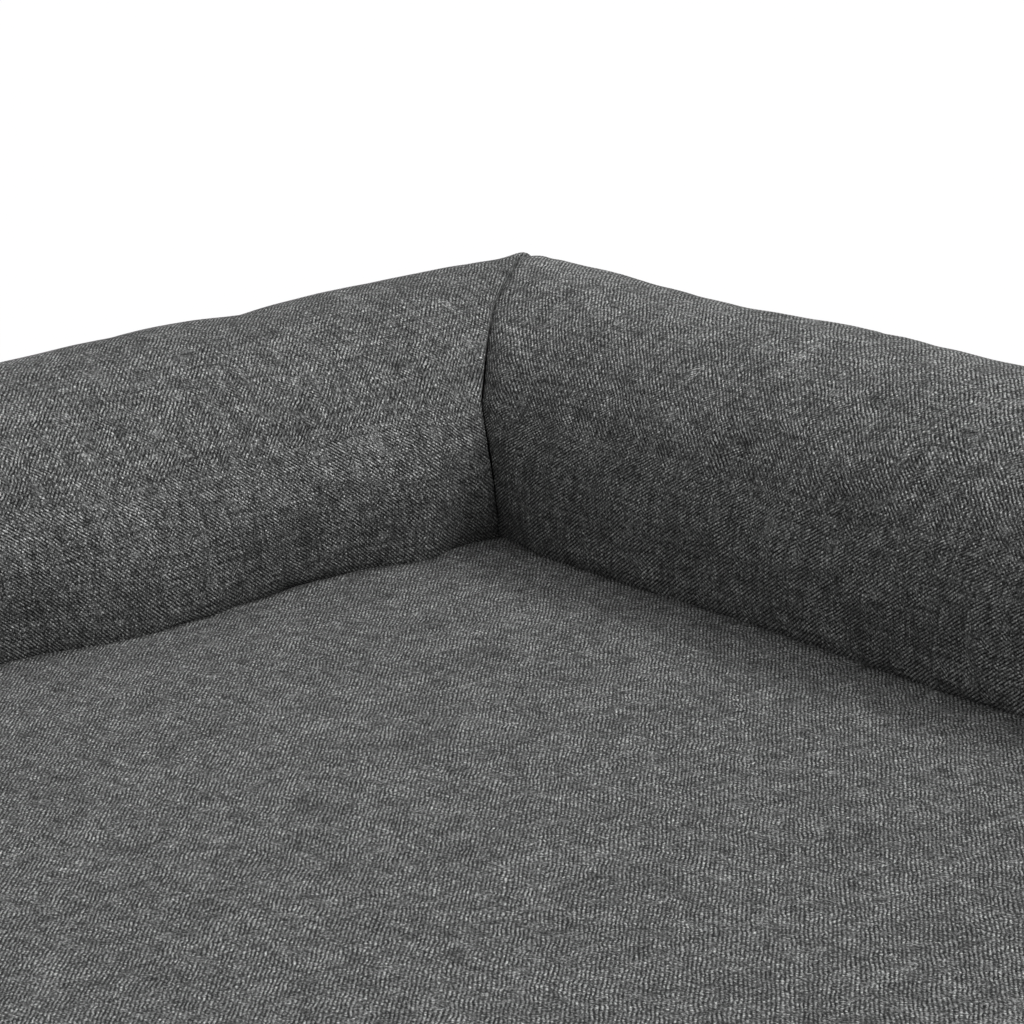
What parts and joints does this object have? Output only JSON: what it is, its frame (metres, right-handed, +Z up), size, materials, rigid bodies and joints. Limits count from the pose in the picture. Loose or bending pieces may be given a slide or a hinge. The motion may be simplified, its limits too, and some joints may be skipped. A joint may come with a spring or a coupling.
{
  "type": "orthopedic dog bed",
  "caption": "Rectangular orthopedic dog bed: foam mattress in a zipped woven cover, open at the front, with stuffed round bolsters along the back and both sides, mitred at the corners.",
  "frame": {"origin": "middle of the footprint, on the floor under the grip dots", "axes": "+Z up; -Y is the open front where the dog steps in; +X is the bed's right side seen from the front, looking along +Y"},
  "size_m": [1.0782, 0.8186, 0.228],
  "materials": {
    "cover_cloth": "matte",
    "nonslip_cloth": "matte",
    "liner_cloth": "satin",
    "bag_cloth": "matte",
    "fibre_fill": "matte",
    "support_foam": "matte",
    "comfort_foam": "matte",
    "zipper_tape": "matte",
    "zipper_coil": "satin",
    "zipper_metal": "satin"
  },
  "bodies": {
    "bed": {"nonslip_bottom_panel": "nonslip_cloth", "front_boxing": "cover_cloth", "left_boxing": "cover_cloth", "right_boxing": "cover_cloth", "back_boxing_upper": "cover_cloth", "back_boxing_lower": "cover_cloth", "sleeping_panel": "cover_cloth", "support_foam": "support_foam", "comfort_foam": "comfort_foam", "foam_liner_tray": "liner_cloth", "foam_liner_lid": "liner_cloth", "back_bolster_cover": "cover_cloth", "back_bolster_inner_bag": "bag_cloth", "back_bolster_fibre_fill": "fibre_fill", "right_bolster_cover": "cover_cloth", "right_bolster_end_cap": "cover_cloth", "right_bolster_inner_bag": "bag_cloth", "right_bolster_fibre_fill": "fibre_fill", "left_bolster_cover": "cover_cloth", "left_bolster_end_cap": "cover_cloth", "left_bolster_inner_bag": "bag_cloth", "left_bolster_fibre_fill": "fibre_fill", "base_zipper_tape_upper": "zipper_tape", "base_zipper_tape_lower": "zipper_tape", "base_zipper_coils": "zipper_coil", "base_zipper_stops": "zipper_coil", "back_zipper_tape_upper": "zipper_tape", "back_zipper_tape_lower": "zipper_tape", "back_zipper_coils": "zipper_coil", "back_zipper_stops": "zipper_coil", "right_zipper_tape_upper": "zipper_tape", "right_zipper_tape_lower": "zipper_tape", "right_zipper_coils": "zipper_coil", "right_zipper_stops": "zipper_coil", "left_zipper_tape_upper": "zipper_tape", "left_zipper_tape_lower": "zipper_tape", "left_zipper_coils": "zipper_coil", "left_zipper_stops": "zipper_coil"},
    "base_zipper_slider": {"base_zipper_slider": "zipper_metal"},
    "base_zipper_pull": {"base_zipper_pull": "zipper_metal"},
    "back_zipper_slider": {"back_zipper_slider": "zipper_metal"},
    "back_zipper_pull": {"back_zipper_pull": "zipper_metal"},
    "right_zipper_slider": {"right_zipper_slider": "zipper_metal"},
    "right_zipper_pull": {"right_zipper_pull": "zipper_metal"},
    "left_zipper_slider": {"left_zipper_slider": "zipper_metal"},
    "left_zipper_pull": {"left_zipper_pull": "zipper_metal"}
  },
  "joints": [
    {"name": "base_zipper_slide", "type": "slide", "parent": "bed", "child": "base_zipper_slider", "axis": [-1, 0, 0], "range_m": [0, 0.8754]},
    {"name": "base_pull_swing", "type": "hinge", "parent": "base_zipper_slider", "child": "base_zipper_pull", "pos_m": [0.4337, 0.3992, 0.0504], "axis": [0, 0, -1], "range_deg": [0, 180]},
    {"name": "back_zipper_slide", "type": "slide", "parent": "bed", "child": "back_zipper_slider", "axis": [-1, 0, 0], "range_m": [0, 0.6754]},
    {"name": "back_pull_swing", "type": "hinge", "parent": "back_zipper_slider", "child": "back_zipper_pull", "pos_m": [0.3337, 0.41025, 0.148], "axis": [0, 0, -1], "range_deg": [0, 180]},
    {"name": "right_zipper_slide", "type": "slide", "parent": "bed", "child": "right_zipper_slider", "axis": [0, 1, 0], "range_m": [0, 0.3954]},
    {"name": "right_pull_swing", "type": "hinge", "parent": "right_zipper_slider", "child": "right_zipper_pull", "pos_m": [0.53725, -0.1937, 0.148], "axis": [0, 0, -1], "range_deg": [0, 180]},
    {"name": "left_zipper_slide", "type": "slide", "parent": "bed", "child": "left_zipper_slider", "axis": [0, 1, 0], "range_m": [0, 0.3954]},
    {"name": "left_pull_swing", "type": "hinge", "parent": "left_zipper_slider", "child": "left_zipper_pull", "pos_m": [-0.53725, -0.1937, 0.148], "axis": [0, 0, 1], "range_deg": [0, 180]}
  ]
}
